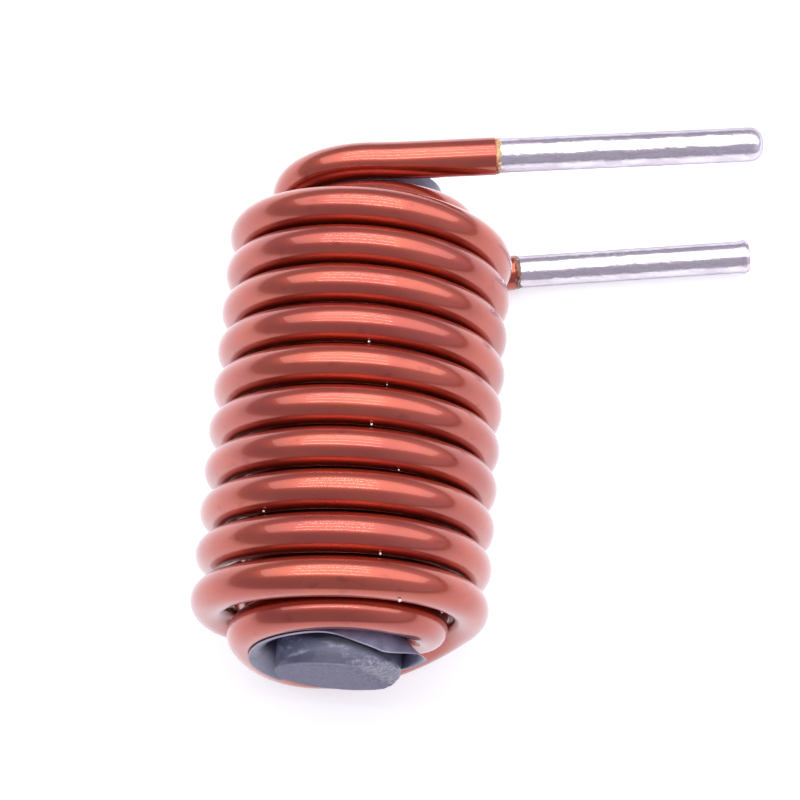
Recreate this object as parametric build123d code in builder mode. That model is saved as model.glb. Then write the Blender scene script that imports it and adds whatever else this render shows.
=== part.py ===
"""Rod core inductor: a ferrite rod in an insulating sleeve, wound with two layers of one enamelled wire.

The rod lies along Y, and the coil lies on its side on the floor plane z = 0. The wire starts as the upper
lead, is wound along the rod as the inner layer, steps up at the near end and is wound back as the outer
layer, and leaves as the lower lead. Both leads point along +X, and their stripped ends are tinned.
All sizes are in millimetres.
"""
import os
from math import atan, cos, degrees, pi, radians, sin, tan

from build123d import *

# The ferrite rod, which lies a little off its sleeve's middle and has a chip in its near face's edge
rod_diameter = 4.94
rod_length = 20.0
rod_shift = 0.15
rod_side = 110
rod_edge = 0.15
chip_radius = 0.8
chip_depth = 0.22
chip_angle = 125
chip_slope = 45

# The insulating sleeve, a film tube that stands out past the rod's far end and has a slanted near rim
sleeve_wall = 0.1
sleeve_clearance = 0.16
sleeve_overhang = 0.7
rim_margin = 1.12
rim_slant = 10

# At the near end the film curls over the wire on the left, and stands out as a flap on the right
lip_first_angle = 10
lip_last_angle = -140
lip_arc = 80
lip_inset = 0.01
flap_first_angle = 35
flap_last_angle = 105
flap_radius = 3.75
flap_root_margin = 1.45
flap_edge_margin = 0.7

# The enamelled wire, its tinned ends, and the bead of flux and burnt enamel where each of them begins
wire_diameter = 1.54
tinned_diameter = 1.4
bead_radius = 0.76
bead_round = 0.16
winding_clearance = 0.03
layer_clearance = 0.02

# The inner layer, a right-handed helix that starts at the top of its first turn
inner_pitch = 1.7
inner_turns = 11
inner_margin = 1.72

# The outer layer, a left-handed helix set back from the inner one at the near end
outer_pitch = 1.656
outer_turns = 9
outer_setback = 1.14

# The step from the inner layer to the outer one, round the bottom of the near end
step_first_angle = -100
step_last_angle = -270
step_points = 8
climb_end = 0.65
return_start = 0.2

# The leads, which fan out: each turns a little past its splay by the coil, and then slowly back to it
knee_radius = 6.0
knee_excess = 1.2
upper_splay = 7.3
upper_reach = 15.55
upper_strip = 4.8
upper_tip_round = 0.5
lower_splay = 8.6
lower_reach = 16.3
lower_strip = 6.1
lower_tip_round = 0.08

# The last drop of tin, a low swelling round the lower lead's tip, on which the lead lies
drop_radius = 0.76
drop_round = 0.16
drop_margin = 0.2

# Radii that follow from these sizes
rod_radius = rod_diameter / 2
wire_radius = wire_diameter / 2
tinned_radius = tinned_diameter / 2
sleeve_inner = rod_radius + sleeve_clearance
sleeve_outer = sleeve_inner + sleeve_wall
inner_radius = sleeve_outer + winding_clearance + wire_radius
outer_radius = inner_radius + wire_diameter + layer_clearance
coil_radius = outer_radius + wire_radius

# Stations along the rod, counted from its middle towards the far end
near_face = -rod_length / 2
inner_last_top = near_face + inner_margin
inner_first_top = inner_last_top + inner_pitch * inner_turns
outer_first_top = inner_last_top + outer_setback
outer_end = outer_first_top + outer_pitch * (outer_turns + 0.5)


def helix_slope(pitch, radius):
    """How far a helix leans out of the plane of a ring, in radians."""
    return atan(pitch / (2 * pi * radius))


def tip_margin(splay, rounding):
    """How far the rim of a lead's tip stands past its middle, to the right and to the far side."""
    turn = radians(splay)
    flat = tinned_radius - rounding
    right = rounding * (1 - cos(turn)) + flat * sin(turn)
    far = rounding * (1 - sin(turn)) + flat * cos(turn)
    return right, far


def return_radius(rise, splay, strip):
    """The radius of the wide arc that turns a lead back to its splay where its enamel ends."""
    past = radians(splay + knee_excess)
    knee_run = knee_radius * (sin(past) - sin(rise))
    return (strip - knee_run) / (sin(past) - sin(radians(splay)))


def lead_station(start, rise, splay, strip, reach):
    """Where a lead's tip is along the rod, past its knee, its wide arc and its straight end."""
    past = radians(splay + knee_excess)
    knee = knee_radius * (cos(rise) - cos(past))
    back = return_radius(rise, splay, strip) * (cos(radians(splay)) - cos(past))
    return start + knee + back + (reach - strip) * tan(radians(splay))


# Where each lead's tip comes to
upper_rise = helix_slope(inner_pitch, inner_radius)
lower_rise = helix_slope(outer_pitch, outer_radius)
upper_right, upper_far = tip_margin(upper_splay, upper_tip_round)
lower_right, lower_far = tip_margin(lower_splay, lower_tip_round)
upper_tip = lead_station(inner_first_top, upper_rise, upper_splay, upper_strip, upper_reach)
lower_tip = lead_station(outer_end, lower_rise, lower_splay, lower_strip, lower_reach)

# The origin is under the middle of the whole part, on the floor
right_end = max(upper_reach + upper_right, lower_reach + lower_right)
far_end = max(upper_tip + upper_far, lower_tip + lower_far)
axis_x = (coil_radius - right_end) / 2
axis_y = -(near_face + far_end) / 2
axis_z = outer_radius + max(wire_radius, bead_radius, drop_radius)


def spot(radius, angle, station):
    """The point at a radius from the coil's axis, at an angle from the top towards +X."""
    turn = radians(angle)
    return Vector(axis_x + radius * sin(turn), axis_y + station, axis_z + radius * cos(turn))


def ease(share):
    """Runs smoothly from 0 to 1."""
    share = min(max(share, 0), 1)
    return share * share * (3 - 2 * share)


def inner_station(angle):
    """Where the inner layer's last turn is along the rod."""
    return inner_last_top + inner_pitch * angle / 360


def outer_station(angle):
    """Where the outer layer's first turn is along the rod, one turn on from the inner layer's last."""
    return outer_first_top - outer_pitch * (angle + 360) / 360


# The two helices
inner_height = inner_first_top - inner_station(step_first_angle)
inner_plane = Plane(origin=spot(0, 0, inner_first_top), x_dir=(0, 0, 1), z_dir=(0, -1, 0))
inner_helix = inner_plane * Helix(inner_pitch, inner_height, inner_radius)

outer_start = outer_station(step_last_angle)
outer_side = spot(1, step_last_angle, 0) - spot(0, 0, 0)
outer_plane = Plane(origin=spot(0, 0, outer_start), x_dir=outer_side, z_dir=(0, 1, 0))
outer_helix = outer_plane * Helix(outer_pitch, outer_end - outer_start, outer_radius, lefthand=True)

# The step climbs off the inner layer first, and then returns along the rod to the outer layer's first turn
step_route = []
for index in range(step_points):
    share = index / (step_points - 1)
    angle = step_first_angle + (step_last_angle - step_first_angle) * share
    radius = inner_radius + (outer_radius - inner_radius) * ease(share / climb_end)
    back = ease((share - return_start) / (1 - return_start))
    station = inner_station(angle) + (outer_station(angle) - inner_station(angle)) * back
    step_route.append(spot(radius, angle, station))

with BuildLine() as step:
    Spline(step_route, tangents=(inner_helix % 1, outer_helix % 0))


def lead_path(height, start, rise, splay, strip):
    """A lead's enamelled run: its knee and its wide arc bring it from its helix's slope to its splay."""
    knee_turn = splay + knee_excess - degrees(rise)
    heading = (cos(rise), sin(rise))
    with BuildLine(Plane.XY.offset(height)) as path:
        knee = JernArc((axis_x, axis_y + start), heading, knee_radius, knee_turn)
        JernArc(knee @ 1, knee % 1, return_radius(rise, splay, strip), -knee_excess)
    return path


def end_profile(lead, length, rounding, swellings):
    """Half the section of a tinned end, from where the enamel stops: its wall, its tip and its swellings."""
    with BuildSketch(Plane(origin=lead.line @ 1, x_dir=lead.line % 1, z_dir=(0, 0, 1))) as profile:
        with BuildLine():
            Polyline((0, 0), (length, 0), (length, tinned_radius), (0, tinned_radius), close=True)
        make_face()
        fillet(profile.vertices().group_by(Axis.X)[-1].sort_by(Axis.Y)[-1], radius=rounding)
        for along, height, curve in swellings:
            with Locations((along, height - curve)):
                Circle(curve)
    return profile


# The enamelled runs of the two leads
upper_lead = lead_path(
    height=axis_z + inner_radius,
    start=inner_first_top,
    rise=upper_rise,
    splay=upper_splay,
    strip=upper_strip,
)
lower_lead = lead_path(
    height=axis_z - outer_radius,
    start=outer_end,
    rise=lower_rise,
    splay=lower_splay,
    strip=lower_strip,
)

# The ferrite rod, with a chip out of the edge of its near face
chip_offset = (chip_radius - chip_depth) * sin(radians(chip_slope))
rod_middle = spot(rod_shift, rod_side, 0) - spot(0, 0, 0)
with BuildPart() as ferrite_rod:
    with BuildSketch(Plane(origin=spot(0, 0, near_face) + rod_middle, z_dir=(0, 1, 0))):
        Circle(rod_radius)
    extrude(amount=rod_length)
    fillet(ferrite_rod.edges().filter_by(GeomType.CIRCLE), radius=rod_edge)
    with Locations(spot(rod_radius + chip_offset, chip_angle, near_face - chip_offset) + rod_middle):
        Sphere(chip_radius, mode=Mode.SUBTRACT)
ferrite_rod.part.label = "ferrite_rod"

# The sleeve: a tube round the rod, a lip that follows the inner layer's last turn, and the flap
sleeve_far_end = rod_length / 2 + sleeve_overhang
sleeve_rim = near_face + rim_margin
lip_fall = inner_pitch * (lip_first_angle - lip_last_angle) / 360
lip_root = spot(0, 0, inner_station(lip_first_angle))
lip_side = spot(1, lip_first_angle, 0) - spot(0, 0, 0)
lip_plane = Plane(origin=lip_root, x_dir=lip_side, z_dir=(0, -1, 0))
lip_helix = lip_plane * Helix(inner_pitch, lip_fall, inner_radius)
lip_outside = inner_radius - sleeve_outer + lip_inset
lip_inside = inner_radius - sleeve_inner - lip_inset
lip_leg = lip_fall + sleeve_wall
flap_side = spot(1, flap_first_angle, 0) - spot(0, 0, 0)
flap_root = near_face + flap_root_margin
flap_edge = near_face + flap_edge_margin
flap_root_radius = (sleeve_inner + sleeve_outer) / 2
with BuildPart() as core_sleeve:
    with BuildSketch(Plane(origin=spot(0, 0, sleeve_far_end), z_dir=(0, -1, 0))):
        Circle(sleeve_outer)
        Circle(sleeve_inner, mode=Mode.SUBTRACT)
    extrude(amount=sleeve_far_end - near_face)
    slant = radians(rim_slant)
    rim_plane = Plane(origin=spot(0, 0, sleeve_rim), z_dir=(sin(slant), cos(slant), 0))
    split(bisect_by=rim_plane, keep=Keep.TOP)
    with BuildSketch(Plane(origin=lip_helix @ 0, x_dir=lip_side, z_dir=lip_helix % 0)):
        with BuildLine():
            front = CenterArc((0, 0), lip_inside, 180, lip_arc)
            back = CenterArc((0, 0), lip_outside, 180, lip_arc)
            Line(front @ 1, back @ 1)
            Polyline(front @ 0, (-lip_inside, lip_leg), (-lip_outside, lip_leg), back @ 0)
        make_face()
    sweep(path=lip_helix, is_frenet=True)
    with BuildSketch(Plane(origin=spot(0, 0, 0), x_dir=flap_side, z_dir=Vector(0, -1, 0).cross(flap_side))):
        with BuildLine():
            Polyline(
                (flap_root_radius, flap_root),
                (flap_radius, flap_edge),
                (flap_radius, flap_edge + sleeve_wall),
                (flap_root_radius, flap_root + sleeve_wall),
                close=True,
            )
        make_face()
    revolve(axis=Axis(spot(0, 0, 0), (0, 1, 0)), revolution_arc=flap_last_angle - flap_first_angle)
core_sleeve.part.label = "core_sleeve"

# The wire, one length swept from where one end is stripped to where the other is, and then its tinned ends
wire_stretches = [upper_lead.line, inner_helix, step.line, outer_helix, lower_lead.line]
wire_route = Wire([edge for stretch in wire_stretches for edge in stretch.edges()])
upper_length = (upper_reach - upper_strip) / cos(radians(upper_splay))
lower_length = (lower_reach - lower_strip) / cos(radians(lower_splay))
bead = (bead_round, bead_radius, bead_round)
drop = (lower_length - drop_margin, drop_radius, drop_round)
upper_profile = end_profile(upper_lead, upper_length, upper_tip_round, [bead])
lower_profile = end_profile(lower_lead, lower_length, lower_tip_round, [bead, drop])
with BuildPart() as winding_wire:
    with BuildSketch(Plane(origin=wire_route @ 0, z_dir=wire_route % 0)):
        Circle(wire_radius)
    sweep(path=wire_route, is_frenet=True)
    revolve(upper_profile.sketch, axis=Axis(upper_lead.line @ 1, upper_lead.line % 1))
    revolve(lower_profile.sketch, axis=Axis(lower_lead.line @ 1, lower_lead.line % 1))
winding_wire.part.label = "winding_wire"

os.makedirs("parts", exist_ok=True)
export_step(ferrite_rod.part, "parts/ferrite_rod.step")
export_step(core_sleeve.part, "parts/core_sleeve.step")
export_step(winding_wire.part, "parts/winding_wire.step")
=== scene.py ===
"""The looks of the rod core inductor: two-layer winding, film sleeve, ferrite rod and tinned ends.

Sizes are in millimetres and become metres through MM. Stations are counted along the rod from its middle
towards the far end, and angles round it from the top towards +X, as in the CAD source. The angles named
at the top are in degrees.
"""
from math import atan2, cos, exp, pi, radians, sin, tan, tau

import bmesh
import bpy
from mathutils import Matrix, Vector, noise


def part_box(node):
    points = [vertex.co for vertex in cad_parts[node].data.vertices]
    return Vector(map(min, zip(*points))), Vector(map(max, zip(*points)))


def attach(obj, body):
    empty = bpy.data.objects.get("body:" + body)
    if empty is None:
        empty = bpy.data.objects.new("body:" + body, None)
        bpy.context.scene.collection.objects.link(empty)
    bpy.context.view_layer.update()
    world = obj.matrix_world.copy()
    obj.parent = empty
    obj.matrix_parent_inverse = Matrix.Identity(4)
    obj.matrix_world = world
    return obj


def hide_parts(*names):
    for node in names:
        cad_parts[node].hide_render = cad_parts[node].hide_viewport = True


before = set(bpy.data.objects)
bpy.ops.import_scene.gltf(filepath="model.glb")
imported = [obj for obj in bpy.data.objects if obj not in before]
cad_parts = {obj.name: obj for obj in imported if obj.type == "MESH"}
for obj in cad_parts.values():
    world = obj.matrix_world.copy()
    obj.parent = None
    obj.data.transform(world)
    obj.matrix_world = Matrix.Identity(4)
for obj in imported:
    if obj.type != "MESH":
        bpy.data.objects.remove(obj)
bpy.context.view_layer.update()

MM = 0.001

# Places read from the CAD model, in millimetres
wire_low, wire_high = (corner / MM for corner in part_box("winding_wire"))
rod_low, rod_high = (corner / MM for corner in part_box("ferrite_rod"))
COIL_RADIUS = (wire_high.z - wire_low.z) / 2
AXIS_X = wire_low.x + COIL_RADIUS
AXIS_Y = (rod_low.y + rod_high.y) / 2
AXIS_Z = (wire_low.z + wire_high.z) / 2
ROD_X = (rod_low.x + rod_high.x) / 2
ROD_Z = (rod_low.z + rod_high.z) / 2
ROD_RADIUS = (rod_high.x - rod_low.x) / 2
NEAR_FACE = rod_low.y - AXIS_Y

# The rod's softened edges, and the slanted break that lowers its near face on the right
ROD_EDGE = 0.15
BREAK_ANGLE = 68
BREAK_START = 1.2
BREAK_SLOPE = 0.24
BREAK_LENGTH = 3.35

# The wire and its two layers
WIRE_DIAMETER = 1.54
INNER_RADIUS = 3.53
OUTER_RADIUS = 5.09
INNER_PITCH = 1.7
INNER_LAST_TOP = -8.28
INNER_TURNS = 11
OUTER_FAR_TOP = 7.759
OUTER_PITCH = 1.619
OUTER_CROWDING = 0.0041
OUTER_TURNS = 10
FAN_MIDDLE = 0.0747
FAN_GROWTH = 0.0082
FAN_MIDDLE_TURN = 4.5

# The step between the layers, as angles and as shares of the turn between them
STEP_FIRST = -100
STEP_LAST = -270
CLIMB_END = 0.65
RETURN_START = 0.2
RETURN_END = 0.87

# The last inner turn lifts away from the face at its top, and one outer turn sags towards it
LIFT = 0.25
SAG = 0.42
SAG_ANGLE = -488
SAG_SPREAD = 38

# The leads, which leave along the coil's slope and bend to their own
BEND_LENGTH = 0.5
UPPER_COIL_SLOPE = INNER_PITCH / (tau * INNER_RADIUS)
UPPER_SPLAY = 7.3
UPPER_STRIP = 4.8
UPPER_REACH = 15.53
UPPER_TIP_ROUND = 0.5
LOWER_COIL_SLOPE = 0.084
LOWER_TOP = 8.588
LOWER_SPLAY = 8.6
LOWER_STRIP = 6.1
LOWER_REACH = 16.3
LOWER_TIP_ROUND = 0.08
TINNED_RADIUS = 0.7
TIN_UNEVENNESS = 0.02
BEAD_RADIUS = 0.76
BEAD_EDGE_RADIUS = 0.66
BEAD_LENGTH = 0.3
DROP_RADIUS = 0.755
DROP_MARGIN = 0.2
DROP_HALF_LENGTH = 0.12

# The sleeve: a tube, a rim that slants across the rod, a lip curled over the wire and a flared flap
FILM_INNER = 2.63
FILM_WALL = 0.1
FILM_FAR_END = 10.7
TUBE_ROWS = (0, 0.05, 0.6, 6, 12, 17)
TUBE_END = -7.2
RIM_STATION = -8.88
RIM_SLOPE = -0.175
RIM_WAVE = 0.05
LIP_FIRST = -172
LIP_LAST = 20
LIP_ARC = 80
LIP_STRAIGHT = 0.6
FLARE = 0.92
FLARE_RISE = (42, 70)
FLARE_FALL = (106, 78)
FLARE_START = 0.4

# The camera, fitted to the photo: its place from the middle of the coil's axis, and where it looks
CAMERA_PLACE = (3.822, -25.75, 83.418)
CAMERA_WAY = (-0.0242, 0.3109, -0.9501)
CAMERA_LENS = 97.45


# Node trees

class Field:
    """A socket that can be reckoned with: each sum or call adds a Math node to its tree."""

    def __init__(self, tree, socket):
        self.tree = tree
        self.socket = socket

    def do(self, operation, *others):
        node = self.tree.nodes.new("ShaderNodeMath")
        node.operation = operation
        for place, value in zip(node.inputs, (self, *others)):
            plug(self.tree, place, value)
        return Field(self.tree, node.outputs[0])

    def __add__(self, other):
        return self.do("ADD", other)

    def __sub__(self, other):
        return self.do("SUBTRACT", other)

    def __mul__(self, other):
        return self.do("MULTIPLY", other)

    def __truediv__(self, other):
        return self.do("DIVIDE", other)

    def __neg__(self):
        return self.do("MULTIPLY", -1)

    def ease(self, first, last):
        """Runs smoothly from 0 at first to 1 at last."""
        node = add_node(self.tree, "ShaderNodeMapRange", interpolation_type="SMOOTHSTEP")
        for name, value in {"Value": self, "From Min": first, "From Max": last}.items():
            plug(self.tree, node.inputs[name], value)
        return Field(self.tree, node.outputs["Result"])


def plug(tree, place, value):
    """Links a field or socket to an input, or sets the input to a plain value."""
    if isinstance(value, Field):
        tree.links.new(value.socket, place)
    elif isinstance(value, bpy.types.NodeSocket):
        tree.links.new(value, place)
    else:
        place.default_value = value


def add_node(tree, kind, inputs=None, **settings):
    """A new node with its settings made and its inputs plugged."""
    node = tree.nodes.new(kind)
    for name, value in settings.items():
        setattr(node, name, value)
    for name, value in (inputs or {}).items():
        plug(tree, node.inputs[name], value)
    return node


def geometry_tree(name, sizes):
    """A Geometry Nodes tree with a named float input for each size, and a material input."""
    tree = bpy.data.node_groups.new(name, "GeometryNodeTree")
    for size in sizes:
        tree.interface.new_socket(size, in_out="INPUT", socket_type="NodeSocketFloat")
    tree.interface.new_socket("Material", in_out="INPUT", socket_type="NodeSocketMaterial")
    tree.interface.new_socket("Geometry", in_out="OUTPUT", socket_type="NodeSocketGeometry")
    return tree


def add_piece(name, mesh):
    """A mesh as an object in the scene."""
    piece = bpy.data.objects.new(name, mesh)
    bpy.context.collection.objects.link(piece)
    return piece


def grow(name, tree, values):
    """Runs a tree with its inputs set by name, and gives the result as a plain mesh object."""
    seed = add_piece(name + "_seed", bpy.data.meshes.new(name + "_seed"))
    modifier = seed.modifiers.new("shape", "NODES")
    modifier.node_group = tree
    for item in tree.interface.items_tree:
        if item.in_out == "INPUT":
            modifier[item.identifier] = values[item.name]
    evaluated = seed.evaluated_get(bpy.context.evaluated_depsgraph_get())
    mesh = bpy.data.meshes.new_from_object(evaluated)
    bpy.data.objects.remove(seed)
    mesh.name = name
    return add_piece(name, mesh)


# The winding

def winding_tree():
    """The wire's rule: one line wound as the inner layer, stepped up, and wound back as the outer."""
    sizes = {
        "Wire Diameter": WIRE_DIAMETER,
        "Inner Radius": INNER_RADIUS,
        "Outer Radius": OUTER_RADIUS,
        "Inner Pitch": INNER_PITCH,
        "Inner Turns": INNER_TURNS,
        "Inner Last Top": INNER_LAST_TOP,
        "Outer Pitch": OUTER_PITCH,
        "Outer Crowding": OUTER_CROWDING,
        "Outer Turns": OUTER_TURNS,
        "Outer Far Top": OUTER_FAR_TOP,
        "Fan": FAN_MIDDLE,
        "Fan Growth": FAN_GROWTH,
        "Lift": LIFT,
        "Sag": SAG,
        "Upper Lead": UPPER_STRIP,
        "Upper Slope": tan(radians(UPPER_SPLAY)),
        "Lower Lead": LOWER_STRIP,
        "Lower Slope": tan(radians(LOWER_SPLAY)),
        "Points": 2200,
        "Sides": 32,
    }
    tree = geometry_tree("winding", sizes)
    inputs = add_node(tree, "NodeGroupInput")
    size = {name: Field(tree, inputs.outputs[name]) for name in sizes}

    line = add_node(tree, "GeometryNodeMeshLine", {"Count": size["Points"]})
    line.inputs["Offset"].default_value = (0, 0, MM)
    index = Field(tree, add_node(tree, "GeometryNodeInputIndex").outputs[0])

    # The angle wound so far, which runs past the coil's ends by the lengths of the leads
    first = size["Inner Turns"] * tau
    last = -(size["Outer Turns"] + 0.5) * tau
    start = first + size["Upper Lead"] / size["Inner Radius"]
    stop = last - size["Lower Lead"] / size["Outer Radius"]
    run = start + (stop - start) * (index / (size["Points"] - 1))
    angle = run.do("MINIMUM", first).do("MAXIMUM", last)
    upper_run = (run - first).do("MAXIMUM", 0) * size["Inner Radius"]
    lower_run = (last - run).do("MAXIMUM", 0) * size["Outer Radius"]

    # The two layers' stations, and the step between them
    inner = size["Inner Last Top"] + size["Inner Pitch"] * angle / tau
    top = (angle.do("COSINE") + 1) / 2
    inner = inner + size["Lift"] * top * top * angle.ease(3 * tau, tau)
    turn = size["Outer Turns"] + angle / tau
    fan = size["Fan"] + size["Fan Growth"] * (turn - FAN_MIDDLE_TURN)
    outer = size["Outer Far Top"] - size["Outer Pitch"] * turn - size["Outer Crowding"] * turn * turn
    outer = outer + size["Outer Radius"] * angle.do("SINE") * fan
    sagging = (angle - radians(SAG_ANGLE)) / radians(SAG_SPREAD)
    outer = outer - size["Sag"] * (-(sagging * sagging)).do("EXPONENT")
    step_start = radians(STEP_FIRST)
    step_turn = radians(STEP_LAST - STEP_FIRST)
    climb = angle.ease(step_start, step_start + step_turn * CLIMB_END)
    back = angle.ease(step_start + step_turn * RETURN_START, step_start + step_turn * RETURN_END)
    radius = size["Inner Radius"] + (size["Outer Radius"] - size["Inner Radius"]) * climb
    station = inner + (outer - inner) * back

    # The leads
    for length, slope, coil_slope in (
        (upper_run, size["Upper Slope"], UPPER_COIL_SLOPE),
        (lower_run, size["Lower Slope"], LOWER_COIL_SLOPE),
    ):
        eased = (-(length / BEND_LENGTH)).do("EXPONENT")
        lag = (slope - coil_slope) * BEND_LENGTH * (-eased + 1)
        station = station + slope * length - lag

    place = add_node(tree, "ShaderNodeCombineXYZ", {
        "X": (radius * angle.do("SINE") + upper_run + lower_run + AXIS_X) * MM,
        "Y": (station + AXIS_Y) * MM,
        "Z": (radius * angle.do("COSINE") + AXIS_Z) * MM,
    })
    laid = add_node(tree, "GeometryNodeSetPosition", {
        "Geometry": line.outputs["Mesh"],
        "Position": place.outputs[0],
    })
    path = add_node(tree, "GeometryNodeMeshToCurve", {"Mesh": laid.outputs[0]})
    along = add_node(tree, "GeometryNodeSplineParameter")
    path_kept = add_node(tree, "GeometryNodeCaptureAttribute", {"Geometry": path.outputs["Curve"]})
    path_kept.capture_items.new("FLOAT", "Along")
    plug(tree, path_kept.inputs["Along"], along.outputs["Length"])

    ring = add_node(tree, "GeometryNodeCurvePrimitiveCircle", {
        "Resolution": size["Sides"],
        "Radius": size["Wire Diameter"] * (MM / 2),
    })
    ring_kept = add_node(tree, "GeometryNodeCaptureAttribute", {"Geometry": ring.outputs["Curve"]})
    ring_kept.capture_items.new("VECTOR", "Around")
    plug(tree, ring_kept.inputs["Around"], add_node(tree, "GeometryNodeInputPosition").outputs[0])

    tube = add_node(tree, "GeometryNodeCurveToMesh", {
        "Curve": path_kept.outputs["Geometry"],
        "Profile Curve": ring_kept.outputs["Geometry"],
        "Fill Caps": True,
    })
    around = add_node(tree, "ShaderNodeSeparateXYZ", {"Vector": ring_kept.outputs["Around"]})
    straight = add_node(tree, "ShaderNodeCombineXYZ", {
        "X": around.outputs["X"],
        "Y": around.outputs["Y"],
        "Z": path_kept.outputs["Along"],
    })
    noted = add_node(tree, "GeometryNodeStoreNamedAttribute", {
        "Geometry": tube.outputs[0],
        "Name": "straight",
        "Value": straight.outputs[0],
    }, data_type="FLOAT_VECTOR", domain="POINT")
    realized = add_node(tree, "GeometryNodeRealizeInstances", {"Geometry": noted.outputs[0]})
    finished = add_node(tree, "GeometryNodeSetMaterial", {
        "Geometry": realized.outputs[0],
        "Material": inputs.outputs["Material"],
    })
    add_node(tree, "NodeGroupOutput", {"Geometry": finished.outputs[0]})
    return tree, sizes


# Pieces made as meshes

def ease(value, first, last):
    """Runs smoothly from 0 at first to 1 at last."""
    share = min(max((value - first) / (last - first), 0), 1)
    return share * share * (3 - 2 * share)


def rough(point, scale, seed):
    """Smooth noise between about -1 and 1 at a point in millimetres."""
    return noise.noise(point * scale + Vector((seed, 7.3 * seed, -3.1 * seed)))


def spot(radius, angle, station):
    """The point at a radius from the coil's axis, at an angle in radians from the top towards +X."""
    return Vector((AXIS_X + radius * sin(angle), AXIS_Y + station, AXIS_Z + radius * cos(angle)))


def loft(name, rings, material, looped=False):
    """A closed mesh through rings of points.

    The last ring joins the first if looped, or else a pole closes each end.
    """
    count = len(rings[0])
    rows = len(rings)
    points = [point * MM for ring in rings for point in ring]
    faces = []
    for row in range(rows if looped else rows - 1):
        here = row * count
        there = (row + 1) % rows * count
        for column in range(count):
            after = (column + 1) % count
            faces.append((here + column, here + after, there + after, there + column))
    if not looped:
        for row in (0, rows - 1):
            pole = len(points)
            points.append(sum(rings[row], Vector()) / count * MM)
            for column in range(count):
                faces.append((row * count + column, row * count + (column + 1) % count, pole))
    mesh = bpy.data.meshes.new(name)
    mesh.from_pydata(points, [], faces)
    shape = bmesh.new()
    shape.from_mesh(mesh)
    bmesh.ops.recalc_face_normals(shape, faces=shape.faces)
    shape.to_mesh(mesh)
    shape.free()
    mesh.materials.append(material)
    mesh.shade_smooth()
    return add_piece(name, mesh)


def sharpen(piece, degrees):
    """Shades the edges that bend by more than an angle as sharp ones."""
    piece.data.set_sharp_from_angle(angle=radians(degrees))


def rod_rows():
    """The (radius, station) of each ring of the rod, from its far face to its near one."""
    flat = ROD_RADIUS - ROD_EDGE
    rows = [(share * flat, -NEAR_FACE) for share in (0.3, 0.7, 1)]
    rows += [
        (flat + ROD_EDGE * sin(a), -NEAR_FACE - ROD_EDGE + ROD_EDGE * cos(a))
        for a in (0.4, 0.8, 1.2)
    ]
    rows += [(ROD_RADIUS, -NEAR_FACE - ROD_EDGE - along) for along in (0, 4, 8, 12, 16)]
    rows += [(ROD_RADIUS, NEAR_FACE + 3.2 * (1 - index / 40) ** 1.5 + ROD_EDGE) for index in range(41)]
    rows += [
        (flat + ROD_EDGE * cos(a), NEAR_FACE + ROD_EDGE - ROD_EDGE * sin(a))
        for a in (0.3, 0.6, 0.9, 1.2, 1.57)
    ]
    rows += [((1 - index / 26) * flat, NEAR_FACE) for index in range(1, 26)]
    return rows


def rod_piece(material):
    """The ferrite rod: a turned side, softened edges, a rough near face and the break on its right."""
    columns = 180
    rings = []
    broken = []
    for radius, station in rod_rows():
        ring = []
        for column in range(columns):
            turn = column / columns * tau
            point = Vector((ROD_X + radius * sin(turn), AXIS_Y + station, ROD_Z + radius * cos(turn)))
            outward = Vector((sin(turn), 0, cos(turn)))
            near = ease(station, NEAR_FACE + 3.4, NEAR_FACE + 0.3)
            worn = near * (abs(rough(point, 1.6, 3)) * 0.05 + abs(rough(point, 7, 5)) * 0.018)
            if radius > ROD_RADIUS - 0.02:
                point = point - outward * min(worn, 0.05) * ease(station, NEAR_FACE + 1.2, NEAR_FACE)
            if station < NEAR_FACE + 0.16:
                point.y += 0.02 * abs(rough(point, 2.2, 8)) + 0.012 * abs(rough(point, 9, 4))
            across = radius * cos(turn - radians(BREAK_ANGLE))
            deep = max(across - BREAK_START - 0.2 * rough(point, 1.4, 6), 0) * BREAK_SLOPE
            if deep > 0:
                deep += 0.05 * abs(rough(point, 4.5, 9)) + 0.03 * abs(rough(point, 11, 2))
            point.y += deep * max(1 - (station - NEAR_FACE) / BREAK_LENGTH, 0)
            broken.append(min(deep * 8, 1) * ease(station, NEAR_FACE + 0.3, NEAR_FACE + 0.14))
            ring.append(point)
        rings.append(ring)
    piece = loft("rod", rings, material)
    fresh = piece.data.attributes.new("broken", "FLOAT", "POINT")
    for index, value in enumerate(broken):
        fresh.data[index].value = value
    return piece


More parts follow.
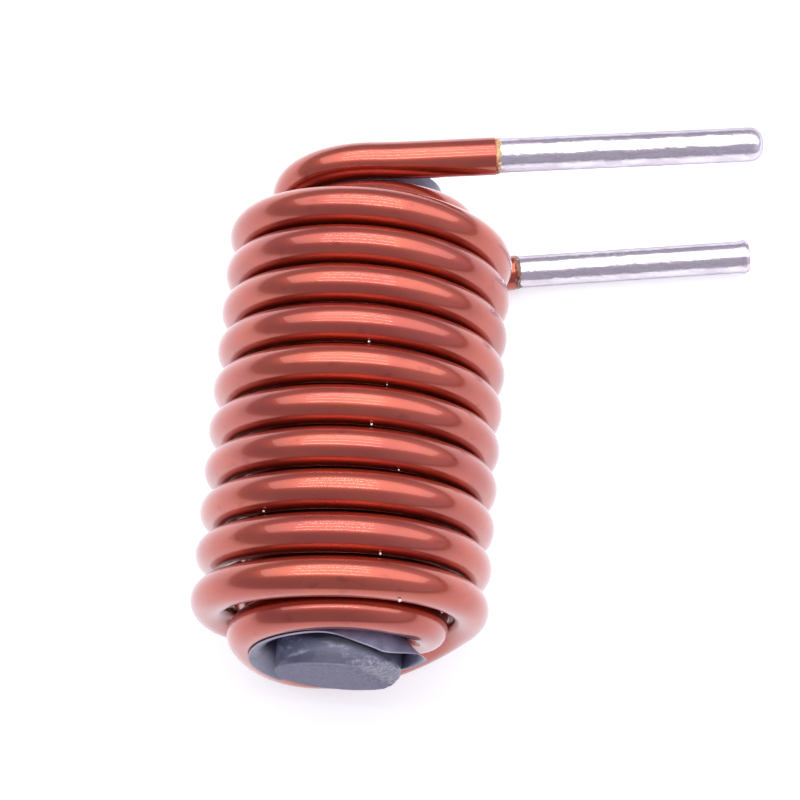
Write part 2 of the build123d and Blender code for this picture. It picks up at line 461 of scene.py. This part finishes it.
def film_edge(angle, inside):
    """The sleeve's near end at an angle, as (radius, station) points from its tube to its rim."""
    degrees = (angle * 360 / tau + 180) % 360 - 180
    radius = FILM_INNER + (0 if inside else FILM_WALL)
    rim = RIM_STATION + RIM_SLOPE * radius * sin(angle)
    rim += RIM_WAVE * noise.noise(Vector((3 * sin(angle), 3 * cos(angle), 4))) * ease(abs(degrees), 5, 20)
    curl = ease(degrees, LIP_FIRST, LIP_FIRST + 35) * ease(degrees, LIP_LAST, LIP_LAST - 45)
    middle = INNER_LAST_TOP + INNER_PITCH * degrees / 360 + LIFT * (0.5 + 0.5 * cos(angle)) ** 2
    flare = ease(degrees, *FLARE_RISE) * ease(degrees, *FLARE_FALL)
    gap = INNER_RADIUS - radius + (-0.02 if inside else 0.01)
    points = []
    for share in [index / 14 for index in range(15)]:
        spread = FLARE * flare * max((share - FLARE_START) / (1 - FLARE_START), 0) ** 2
        plain = (radius + spread, TUBE_END + (rim + 0.2 * flare - TUBE_END) * share)
        along = share * (1 + LIP_STRAIGHT)
        if along < LIP_STRAIGHT:
            curled = (radius, TUBE_END + (middle - TUBE_END) * along / LIP_STRAIGHT)
        else:
            turn = radians(LIP_ARC) * (along - LIP_STRAIGHT)
            curled = (INNER_RADIUS - gap * cos(turn), middle - gap * sin(turn))
        points.append(tuple(a + (b - a) * curl for a, b in zip(plain, curled)))
    return points


def sleeve_piece(material):
    """The film tube, whose near end curls over the wire on the left and flares out on the right."""
    columns = 240
    profiles = []
    for column in range(columns):
        angle = column / columns * tau
        outside = [(FILM_INNER + FILM_WALL, FILM_FAR_END - along) for along in TUBE_ROWS]
        outside += film_edge(angle, inside=False)
        inside = [(FILM_INNER, FILM_FAR_END - along) for along in TUBE_ROWS]
        inside += film_edge(angle, inside=True)
        profiles.append(outside + inside[::-1])
    rings = []
    for row in range(len(profiles[0])):
        rings.append([
            spot(profile[row][0], column / columns * tau, profile[row][1])
            for column, profile in enumerate(profiles)
        ])
    piece = loft("sleeve", rings, material, looped=True)
    # The rows along the cut rim, which the film's material paints as a pale highlight line.
    cut = piece.data.attributes.new("cut", "FLOAT", "POINT")
    half = len(rings) // 2
    for row in (half - 1, half):
        for column in range(columns):
            cut.data[row * columns + column].value = 1
    return piece


def lead_point(distance, splay, radius, top, coil_slope):
    """Where the middle of a lead is, at a distance to the right of the coil's axis."""
    slope = tan(radians(splay))
    lag = (slope - coil_slope) * BEND_LENGTH * (1 - exp(-distance / BEND_LENGTH))
    return Vector((AXIS_X + distance, AXIS_Y + top + slope * distance - lag, AXIS_Z + radius))


def lead_frame(lead, strip):
    """The start of a lead's tinned end, and the ways along it and aside."""
    turn = radians(lead["splay"])
    ahead = Vector((cos(turn), sin(turn), 0))
    aside = Vector((-sin(turn), cos(turn), 0))
    return lead_point(strip, **lead), ahead, aside


UPPER_LEAD = {
    "splay": UPPER_SPLAY,
    "radius": INNER_RADIUS,
    "top": INNER_LAST_TOP + INNER_PITCH * INNER_TURNS,
    "coil_slope": UPPER_COIL_SLOPE,
}
LOWER_LEAD = {
    "splay": LOWER_SPLAY,
    "radius": -OUTER_RADIUS,
    "top": LOWER_TOP,
    "coil_slope": LOWER_COIL_SLOPE,
}


def tinned_piece(name, lead, strip, reach, rounding, seed, material, drop=0):
    """A dipped wire end: uneven tin, a rounded or square-cut tip, and perhaps a last drop near it."""
    start, ahead, aside = lead_frame(lead, strip)
    length = (reach - strip) / cos(radians(lead["splay"]))
    stations = [length * index / 150 for index in range(150)]
    sections = [(along, TINNED_RADIUS) for along in stations if along < length - rounding]
    sections += [
        (length - rounding + rounding * sin(a), TINNED_RADIUS - rounding + rounding * cos(a))
        for a in [radians(15 * step) for step in range(7)]
    ]
    flat = TINNED_RADIUS - rounding
    sections += [(length, flat * share) for share in (0.75, 0.5, 0.25)]
    rings = []
    for along, radius in sections:
        radius += drop * max(1 - ((length - DROP_MARGIN - along) / DROP_HALF_LENGTH) ** 2, 0)
        middle = start + ahead * along
        ring = []
        for column in range(56):
            around = column / 56 * tau
            across, up = cos(around), sin(around)
            outward = aside * across + Vector((0, 0, up))
            lumps = 0.5 + 0.5 * rough(Vector((along * 0.6, across, up)), 1.1, seed)
            lumps += 0.35 * abs(rough(Vector((along, 1.6 * across, 1.6 * up)), 2.6, seed + 2))
            drip = rough(Vector((along, across, up)), 3.1, seed + 5)
            lumps -= 0.8 * ease(drip, 0.42, 0.6)
            ring.append(middle + outward * radius * (1 - TIN_UNEVENNESS * max(lumps, 0)))
        rings.append(ring)
    return loft(name, rings, material)


def bead_piece(name, lead, strip, seed, material):
    """The ragged bead of flux and burnt enamel where a tinned end begins."""
    start, ahead, aside = lead_frame(lead, strip)
    rings = []
    for index in range(17):
        share = index / 16
        ring = []
        for column in range(72):
            around = column / 72 * tau
            outward = aside * cos(around) + Vector((0, 0, sin(around)))
            here = Vector((cos(around), sin(around), share * 0.6))
            width = BEAD_LENGTH + 0.13 * rough(here * Vector((1, 1, 0)), 2.4, seed)
            swell = sin(share * pi) ** 0.7 * (0.86 + 0.14 * rough(here, 3.6, seed + 1))
            radius = BEAD_EDGE_RADIUS + (BEAD_RADIUS - BEAD_EDGE_RADIUS) * swell
            ring.append(start + ahead * (-0.05 + width * share) + outward * min(radius, BEAD_RADIUS))
        rings.append(ring)
    return loft(name, rings, material)


def dust_piece(material):
    """The specks of pale dust between the turns, each given by its angle, its turn and its radius."""
    specks = (
        (5, 3, 0.045), (14, 4, 0.03), (9, 5, 0.05), (22, 6, 0.035), (-34, 7, 0.04), (17, 8, 0.05),
        (27, 9, 0.06),
    )
    points = []
    faces = []
    for angle, turn, size in specks:
        turn_angle = radians(angle)
        station = OUTER_FAR_TOP - OUTER_PITCH * (turn + 0.5) - OUTER_CROWDING * turn * turn
        fan = FAN_MIDDLE + FAN_GROWTH * (turn - FAN_MIDDLE_TURN)
        station += OUTER_RADIUS * sin(turn_angle) * fan - OUTER_PITCH * angle / 360
        middle = spot(OUTER_RADIUS + 0.24, turn_angle, station)
        blob = bmesh.new()
        bmesh.ops.create_icosphere(blob, subdivisions=2, radius=size)
        for corner in blob.verts:
            corner.co += corner.co.normalized() * size * 0.5 * rough(corner.co * 20, 1, turn)
        offset = len(points)
        points += [(middle + corner.co) * MM for corner in blob.verts]
        faces += [[offset + corner.index for corner in face.verts] for face in blob.faces]
        blob.free()
    mesh = bpy.data.meshes.new("dust")
    mesh.from_pydata(points, [], faces)
    mesh.materials.append(material)
    mesh.shade_smooth()
    return add_piece("dust", mesh)


# Materials

def surface(name, **values):
    """A material with a Principled shader, whose plain values are set on its own sockets."""
    material = bpy.data.materials.new(name)
    material.use_nodes = True
    shader = material.node_tree.nodes["Principled BSDF"]
    for key, value in values.items():
        shader.inputs[key.replace("_", " ")].default_value = value
    return material, material.node_tree, shader


def in_millimetres(tree, source, stretch=(1, 1, 1)):
    """A vector in millimetres, squeezed along each axis by a factor."""
    scaled = add_node(tree, "ShaderNodeVectorMath", {"Vector": source}, operation="MULTIPLY")
    scaled.inputs[1].default_value = [factor / MM for factor in stretch]
    return scaled.outputs[0]


def object_place(tree, stretch=(1, 1, 1)):
    """Where a point is in its object, in millimetres."""
    place = add_node(tree, "ShaderNodeTexCoord").outputs["Object"]
    return in_millimetres(tree, place, stretch)


def grain(tree, vector, scale, detail=3, sharpness=0.5):
    """Noise between 0 and 1."""
    node = add_node(tree, "ShaderNodeTexNoise", {
        "Vector": vector, "Scale": scale, "Detail": detail, "Roughness": sharpness,
    })
    return Field(tree, node.outputs["Fac"])


def blend(tree, factor, first, second):
    """A colour between two, each a plain colour or a socket."""
    node = add_node(tree, "ShaderNodeMix", data_type="RGBA")
    plug(tree, node.inputs["Factor"], factor)
    for socket, colour in zip([s for s in node.inputs if s.type == "RGBA"], (first, second)):
        plug(tree, socket, colour if not isinstance(colour, tuple) or len(colour) == 4 else (*colour, 1))
    return [s for s in node.outputs if s.type == "RGBA"][0]


def attribute(tree, name):
    """A number that a piece keeps at each of its points."""
    return Field(tree, add_node(tree, "ShaderNodeAttribute", attribute_name=name).outputs["Fac"])


def bump(tree, shader, height, strength, distance):
    """Roughens a shader by a height field. The distance is in millimetres."""
    node = add_node(tree, "ShaderNodeBump", {
        "Height": height,
        "Strength": strength,
        "Distance": distance * MM,
    })
    plug(tree, shader.inputs["Normal"], node.outputs["Normal"])


def enamel_material():
    """Clear red-brown enamel over drawn copper, browner in places and faintly ridged along the wire."""
    material, tree, shader = surface(
        "copper_enamel", Metallic=0.9, Coat_Weight=1, Coat_Roughness=0.03, Coat_IOR=1.6,
    )
    straight = add_node(tree, "ShaderNodeAttribute", attribute_name="straight").outputs["Vector"]
    ridges = grain(tree, in_millimetres(tree, straight, (1, 1, 0.03)), 5.5, 3, 0.6)
    clouds = grain(tree, in_millimetres(tree, straight, (1, 1, 0.5)), 0.8, 2)
    stains = grain(tree, in_millimetres(tree, straight, (1, 1, 0.6)), 2.1, 3)
    colour = blend(tree, clouds.ease(0.3, 0.75), (0.49, 0.08, 0.036), (0.41, 0.057, 0.032))
    colour = blend(tree, stains.ease(0.6, 0.78) * 0.55, colour, (0.26, 0.022, 0.012))
    plug(tree, shader.inputs["Base Color"], colour)
    plug(tree, shader.inputs["Roughness"], clouds * 0.1 + 0.25)
    bump(tree, shader, ridges, 0.35, 0.012)
    return material


def tin_material():
    """Hot-dipped tin: bright, streaked along the wire and slightly lumpy."""
    material, tree, shader = surface("tin", Metallic=1, Specular_Tint=(0.5, 0.47, 0.58, 1))
    long = grain(tree, object_place(tree, (0.25, 1, 1)), 3.2, 4, 0.6)
    fine = grain(tree, object_place(tree), 9, 3, 0.6)
    colour = blend(tree, long.ease(0.35, 0.7), (0.8, 0.76, 0.8), (0.68, 0.61, 0.66))
    plug(tree, shader.inputs["Base Color"], colour)
    plug(tree, shader.inputs["Roughness"], long.ease(0.3, 0.75) * 0.16 + 0.16)
    bump(tree, shader, long * 0.7 + fine * 0.3, 0.5, 0.05)
    return material


def flux_material(name, light, dark):
    """Burnt enamel and flux: glassy, and blotched from one colour to another."""
    material, tree, shader = surface(name, Roughness=0.3, Coat_Weight=0.6, Coat_Roughness=0.1)
    blotches = grain(tree, object_place(tree), 4.5, 4, 0.65)
    specks = grain(tree, object_place(tree), 9, 2)
    colour = blend(tree, blotches.ease(0.38, 0.62), light, dark)
    colour = blend(tree, specks.ease(0.6, 0.68), colour, (0.85, 0.78, 0.7))
    plug(tree, shader.inputs["Base Color"], colour)
    bump(tree, shader, blotches, 0.6, 0.05)
    return material


def ferrite_material():
    """Sintered ferrite: dull and pale on its near face and darker on its side, with painted highlights as
    lighter blotches near the face, a darker band just above the face's rim, painted shade further in, and
    a painted shadow of the film's rim.
    """
    material, tree, shader = surface("ferrite")
    place = add_node(tree, "ShaderNodeSeparateXYZ", {"Vector": object_place(tree)})
    right = Field(tree, place.outputs["X"]) - AXIS_X
    station = Field(tree, place.outputs["Y"]) - AXIS_Y
    speckles = grain(tree, object_place(tree), 7, 4, 0.7)
    patches = grain(tree, object_place(tree, (0.8, 1.5, 0.8)), 1.9, 5, 0.7)
    inward = station - NEAR_FACE + (patches - 0.5) * 0.5
    face = blend(tree, speckles.ease(0.35, 0.7), (0.225, 0.215, 0.29), (0.325, 0.31, 0.405))
    # Painted highlight: lighter grey-blue blotches on the side near the face.
    side = blend(tree, patches.ease(0.46, 0.72), (0.13, 0.135, 0.21), (0.36, 0.37, 0.48))
    # Painted shade: the side turns dark navy further in from the near face.
    side = blend(tree, inward.ease(1.15, 2), side, (0.04, 0.045, 0.095))
    side = blend(tree, inward.ease(0.6, 0.35), side, (0.07, 0.07, 0.12))
    on_side = (station + speckles * 0.1).ease(NEAR_FACE + 0.1, NEAR_FACE + 0.2)
    # Painted shadow of the film's rim on the rod's side, from just before the rim inwards.
    painted_rim_shadow = station - right * RIM_SLOPE - RIM_STATION
    side = blend(tree, painted_rim_shadow.ease(-0.34, -0.1), side, (0.03, 0.03, 0.055))
    colour = blend(tree, on_side, face, side)
    crumbs = blend(tree, speckles.ease(0.45, 0.62), (0.2, 0.19, 0.26), (0.42, 0.4, 0.5))
    colour = blend(tree, attribute(tree, "broken") * 0.85, colour, crumbs)
    plug(tree, shader.inputs["Base Color"], colour)
    plug(tree, shader.inputs["Roughness"], (-on_side + 1) * 0.35 + patches * 0.2 + 0.25)
    bump(tree, shader, speckles * 0.6 + patches * 0.4, 0.5, 0.05)
    return material


def film_material():
    """Thin blue-grey insulating film with a satin face and a painted highlight along its cut rim."""
    material, tree, shader = surface("film", Coat_Weight=0.35, Coat_Roughness=0.15)
    clouds = grain(tree, object_place(tree), 0.9, 3)
    fibres = grain(tree, object_place(tree), 6, 3)
    colour = blend(tree, clouds.ease(0.3, 0.7), (0.13, 0.125, 0.21), (0.24, 0.23, 0.34))
    # Painted highlight: the rows along the cut rim are drawn pale, as a lit line.
    edge = attribute(tree, "cut").ease(0.5, 1)
    plug(tree, shader.inputs["Base Color"], blend(tree, edge * 0.8, colour, (0.55, 0.53, 0.64)))
    plug(tree, shader.inputs["Roughness"], fibres * 0.2 + 0.32)
    bump(tree, shader, clouds * 0.7 + fibres * 0.3, 0.3, 0.05)
    return material


def dust_material():
    """Dull, almost white dust."""
    material, tree, shader = surface("dust", Roughness=0.9)
    pale = grain(tree, object_place(tree), 12, 2)
    plug(tree, shader.inputs["Base Color"], blend(tree, pale, (0.75, 0.68, 0.66), (0.9, 0.87, 0.88)))
    return material


# The stage

def floor_material():
    """White paper, a little brighter to the eye than it is lit, so that only the shadow shows on it."""
    material, tree, shader = surface("paper", Roughness=0.9)
    shader.inputs["Base Color"].default_value = (0.56, 0.58, 0.62, 1)
    rays = add_node(tree, "ShaderNodeLightPath").outputs
    looked_at = Field(tree, rays["Is Camera Ray"])
    for kind in ("Is Glossy Ray", "Is Transmission Ray"):
        looked_at = looked_at.do("MAXIMUM", Field(tree, rays[kind]))
    shader.inputs["Emission Color"].default_value = (1, 0.985, 1, 1)
    plug(tree, shader.inputs["Emission Strength"], looked_at * 0.6)
    return material


def build_stage():
    """The paper floor, and a soft surround that is lighter on the right and dark along the horizon."""
    bpy.ops.mesh.primitive_plane_add(size=3)
    floor = bpy.context.object
    floor.name = "floor"
    floor.data.materials.append(floor_material())

    world = bpy.data.worlds.new("studio")
    bpy.context.scene.world = world
    world.use_nodes = True
    tree = world.node_tree
    background = tree.nodes["Background"]
    background.inputs["Color"].default_value = (0.87, 0.82, 1.0, 1)
    sky = add_node(tree, "ShaderNodeTexCoord").outputs["Generated"]
    way = add_node(tree, "ShaderNodeSeparateXYZ", {"Vector": sky})
    right = Field(tree, way.outputs["X"])
    height = Field(tree, way.outputs["Z"])
    dark_horizon = height.ease(0.16, 0.05) * right.ease(-0.7, 0) * 0.55
    plug(tree, background.inputs["Strength"], (right.ease(0.2, 0.9) * 0.3 + 0.5) * (-dark_horizon + 1))


def softbox(name, centre, width, height, strength):
    """A rectangular studio light along X, tipped towards the coil. Its strength is its brightness."""
    lamp = bpy.data.lights.new(name, "AREA")
    lamp.shape = "RECTANGLE"
    lamp.size = width * MM
    lamp.size_y = height * MM
    lamp.energy = 4 * strength * lamp.size * lamp.size_y
    holder = bpy.data.objects.new(name, lamp)
    bpy.context.collection.objects.link(holder)
    holder.location = Vector(centre) * MM
    holder.rotation_euler = (-atan2(centre[1], centre[2] - AXIS_Z), 0, 0)


def build_lights():
    """One wide light overhead, and the thin strips that draw bright lines on each turn."""
    softbox("overhead", (45, 40, 125), 520, 150, 1.1)
    for station in (-12, 22, 58, 90):
        softbox("strip", (-22, station, 118), 130, 1.6, 16)


def build_camera():
    """The camera at the photo's view."""
    data = bpy.data.cameras.new("camera")
    data.sensor_width = 36
    data.lens = CAMERA_LENS
    data.clip_start = 0.005
    data.clip_end = 10
    camera = bpy.data.objects.new("camera", data)
    bpy.context.collection.objects.link(camera)
    right, far, up = CAMERA_PLACE
    camera.location = Vector((AXIS_X + right, AXIS_Y + far, AXIS_Z + up)) * MM
    camera.rotation_euler = Vector(CAMERA_WAY).to_track_quat("-Z", "Y").to_euler()
    bpy.context.scene.camera = camera


def finish_piece(piece, slot, *nodes):
    """Hands a piece over with its body and hides the CAD nodes that it replaces. The slot is not used."""
    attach(piece, "root")
    if nodes:
        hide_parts(*nodes)


def main():
    bpy.context.scene.view_settings.view_transform = "Standard"
    build_stage()
    build_lights()
    build_camera()

    tree, sizes = winding_tree()
    sizes["Material"] = enamel_material()
    winding = grow("winding", tree, sizes)
    winding.data.shade_smooth()
    sharpen(winding, 40)
    finish_piece(winding, "enamelled_copper", "winding_wire")

    rod = rod_piece(ferrite_material())
    finish_piece(rod, "ferrite", "ferrite_rod")

    sleeve = sleeve_piece(film_material())
    sharpen(sleeve, 50)
    finish_piece(sleeve, "sleeve", "core_sleeve")

    tin = tin_material()
    upper = tinned_piece(
        "upper_tin", UPPER_LEAD, UPPER_STRIP, UPPER_REACH, UPPER_TIP_ROUND, seed=2, material=tin,
    )
    lower = tinned_piece(
        "lower_tin", LOWER_LEAD, LOWER_STRIP, LOWER_REACH, LOWER_TIP_ROUND, seed=11, material=tin,
        drop=DROP_RADIUS - TINNED_RADIUS,
    )
    sharpen(lower, 40)
    finish_piece(upper, "tin")
    finish_piece(lower, "tin")
    amber = flux_material("amber_flux", (0.72, 0.42, 0.16), (0.42, 0.13, 0.05))
    brown = flux_material("brown_flux", (0.33, 0.12, 0.05), (0.12, 0.03, 0.02))
    finish_piece(bead_piece("upper_bead", UPPER_LEAD, UPPER_STRIP, 3, amber), "tin")
    finish_piece(bead_piece("lower_bead", LOWER_LEAD, LOWER_STRIP, 8, brown), "tin")
    finish_piece(dust_piece(dust_material()), "enamelled_copper")


main()
